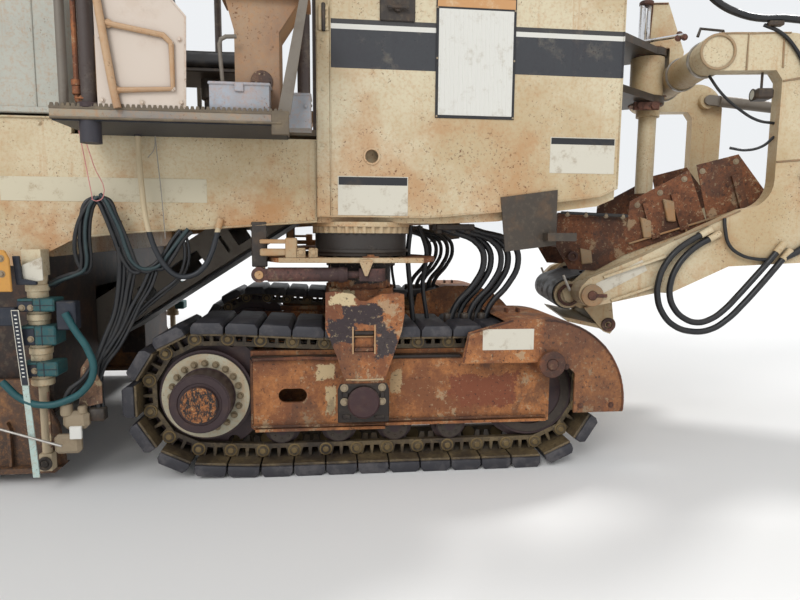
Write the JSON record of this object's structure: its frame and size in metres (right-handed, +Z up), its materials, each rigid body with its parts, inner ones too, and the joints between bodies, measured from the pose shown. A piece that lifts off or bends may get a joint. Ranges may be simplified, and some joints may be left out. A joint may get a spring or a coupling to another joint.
{
  "type": "cold planer milling machine",
  "caption": "Self-propelled road milling machine on crawler tracks, with a cutting drum amidships and a loading boom at the front.",
  "frame": {"origin": "middle of the footprint, on the ground under the tracks", "axes": "+X to the front, where the loading boom is, +Y to the left, +Z up"},
  "size_m": [15.0963, 3.339, 4.12],
  "materials": {
    "cream_paint": "chalky cream paint with rust spots",
    "tank_paint": "cream paint with dark blue and white stripes",
    "hood_paint": "grey-green paint, faded",
    "iron": "worn oily steel",
    "rust": "rusted plate",
    "rust_paint": "orange-brown rust over old paint",
    "hub_steel": "greasy steel with dried mud",
    "track_pad": "dusty dark rubber",
    "chrome": "polished rod",
    "tube_steel": "weathered tube",
    "belt_rubber": "matt belt rubber",
    "seat_vinyl": "black vinyl",
    "lamp_glass": "lamp lens and housing"
  },
  "bodies": {
    "chassis": {"main_frame": "cream_paint", "engine_hood": "hood_paint", "engine_block": "iron", "radiator_grille": "tube_steel", "exhaust_stacks": "rust", "tanks": "tank_paint", "deck": "cream_paint", "handrails": "tube_steel", "canopy": "hood_paint", "console": "cream_paint", "seats": "seat_vinyl", "ladders": "cream_paint", "side_boxes": "cream_paint", "cutter_housing": "iron", "lift_barrels": "cream_paint", "primary_conveyor": "tube_steel", "primary_belt": "belt_rubber", "king_bracket": "iron", "steer_barrels": "rust_paint", "lamps": "lamp_glass", "slew_drums": "iron", "step_plates": "iron", "curtain": "belt_rubber", "side_hose": "belt_rubber"},
    "leg_front_right": {"leg_front_right": "rust_paint", "frame_front_right": "rust_paint", "wheels_front_right": "hub_steel", "track_front_right": "track_pad"},
    "leg_front_left": {"leg_front_left": "rust_paint", "frame_front_left": "rust_paint", "wheels_front_left": "hub_steel", "track_front_left": "track_pad"},
    "leg_rear_right": {"leg_rear_right": "rust_paint", "frame_rear_right": "rust_paint", "wheels_rear_right": "hub_steel", "track_rear_right": "track_pad"},
    "leg_rear_left": {"leg_rear_left": "rust_paint", "frame_rear_left": "rust_paint", "wheels_rear_left": "hub_steel", "track_rear_left": "track_pad"},
    "drum": {"cutter_drum": "iron"},
    "gate_right": {"side_plate_right": "cream_paint"},
    "gate_left": {"side_plate_left": "cream_paint"},
    "blade": {"moldboard": "cream_paint"},
    "swing": {"swing_yoke": "cream_paint", "boom_hose_outer": "belt_rubber", "boom_hose_inner": "belt_rubber"},
    "boom": {"boom_frame": "cream_paint", "boom_belt": "belt_rubber", "hopper": "rust"},
    "hoist": {"hoist_barrels": "tube_steel"},
    "hoist_rod": {"hoist_rods": "chrome"},
    "door_right": {"hood_door_right": "hood_paint"},
    "door_left": {"hood_door_left": "hood_paint"},
    "steer_rod_front_right": {"steer_rod_front_right": "chrome"},
    "steer_rod_front_left": {"steer_rod_front_left": "chrome"},
    "steer_rod_rear_right": {"steer_rod_rear_right": "chrome"},
    "steer_rod_rear_left": {"steer_rod_rear_left": "chrome"}
  },
  "joints": [
    {"name": "steer_front_right", "type": "hinge", "parent": "chassis", "child": "leg_front_right", "pos_m": [-0.94312, -0.995, 1], "axis": [0, 0, 1], "range_deg": [-12, 12]},
    {"name": "steer_cylinder_front_right", "type": "slide", "parent": "chassis", "child": "steer_rod_front_right", "axis": [1, 0, 0], "range_m": [-0.05497, 0.05497]},
    {"name": "steer_front_left", "type": "hinge", "parent": "chassis", "child": "leg_front_left", "pos_m": [-0.94312, 0.995, 1], "axis": [0, 0, 1], "range_deg": [-12, 12]},
    {"name": "steer_cylinder_front_left", "type": "slide", "parent": "chassis", "child": "steer_rod_front_left", "axis": [1, 0, 0], "range_m": [-0.05497, 0.05497]},
    {"name": "steer_rear_right", "type": "hinge", "parent": "chassis", "child": "leg_rear_right", "pos_m": [-5.99312, -0.995, 1], "axis": [0, 0, 1], "range_deg": [-12, 12]},
    {"name": "steer_cylinder_rear_right", "type": "slide", "parent": "chassis", "child": "steer_rod_rear_right", "axis": [1, 0, 0], "range_m": [-0.05497, 0.05497]},
    {"name": "steer_rear_left", "type": "hinge", "parent": "chassis", "child": "leg_rear_left", "pos_m": [-5.99312, 0.995, 1], "axis": [0, 0, 1], "range_deg": [-12, 12]},
    {"name": "steer_cylinder_rear_left", "type": "slide", "parent": "chassis", "child": "steer_rod_rear_left", "axis": [1, 0, 0], "range_m": [-0.05497, 0.05497]},
    {"name": "drum_spin", "type": "hinge", "parent": "chassis", "child": "drum", "pos_m": [-3.39312, 0, 0.7], "axis": [0, 1, 0], "continuous": true},
    {"name": "gate_right_lift", "type": "slide", "parent": "chassis", "child": "gate_right", "axis": [0, 0, 1], "range_m": [-0.04, 0.3]},
    {"name": "gate_left_lift", "type": "slide", "parent": "chassis", "child": "gate_left", "axis": [0, 0, 1], "range_m": [-0.04, 0.3]},
    {"name": "moldboard_lift", "type": "slide", "parent": "chassis", "child": "blade", "axis": [0, 0, 1], "range_m": [-0.04, 0.28]},
    {"name": "boom_swing", "type": "hinge", "parent": "chassis", "child": "swing", "pos_m": [1.25688, 0, 2.5], "axis": [0, 0, 1], "range_deg": [-20, 40]},
    {"name": "boom_lift", "type": "hinge", "parent": "swing", "child": "boom", "pos_m": [0.74478, 0.0903, 0.925], "axis": [-0.1736, -0.9848, 0], "range_deg": [-12, 9]},
    {"name": "hoist_tilt", "type": "hinge", "parent": "swing", "child": "hoist", "pos_m": [1.94625, -0.12155, 2.45], "axis": [-0.1736, -0.9848, 0], "range_deg": [-17.45, 13.09]},
    {"name": "hoist_stroke", "type": "slide", "parent": "hoist", "child": "hoist_rod", "axis": [0.9774, -0.1723, -0.1228], "range_m": [-0.26576, 0.35435]},
    {"name": "hood_door_right_swing", "type": "hinge", "parent": "chassis", "child": "door_right", "pos_m": [-6.64312, -1.2393, 2.4], "axis": [0, 0, -1], "range_deg": [0, 110]},
    {"name": "hood_door_left_swing", "type": "hinge", "parent": "chassis", "child": "door_left", "pos_m": [-6.64312, 1.2393, 2.4], "axis": [0, 0, 1], "range_deg": [0, 110]}
  ],
  "couplings": [
    {"joint": "steer_cylinder_front_right", "follows": "steer_front_right", "m_per_rad": 0.262},
    {"joint": "steer_front_left", "follows": "steer_front_right", "ratio": 1},
    {"joint": "steer_cylinder_front_left", "follows": "steer_front_right", "m_per_rad": -0.262},
    {"joint": "steer_cylinder_rear_right", "follows": "steer_rear_right", "m_per_rad": 0.262},
    {"joint": "steer_rear_left", "follows": "steer_rear_right", "ratio": 1},
    {"joint": "steer_cylinder_rear_left", "follows": "steer_rear_right", "m_per_rad": -0.262},
    {"joint": "hoist_tilt", "follows": "boom_lift", "ratio": 1.4528},
    {"joint": "hoist_stroke", "follows": "boom_lift", "m_per_rad": -1.6902}
  ]
}
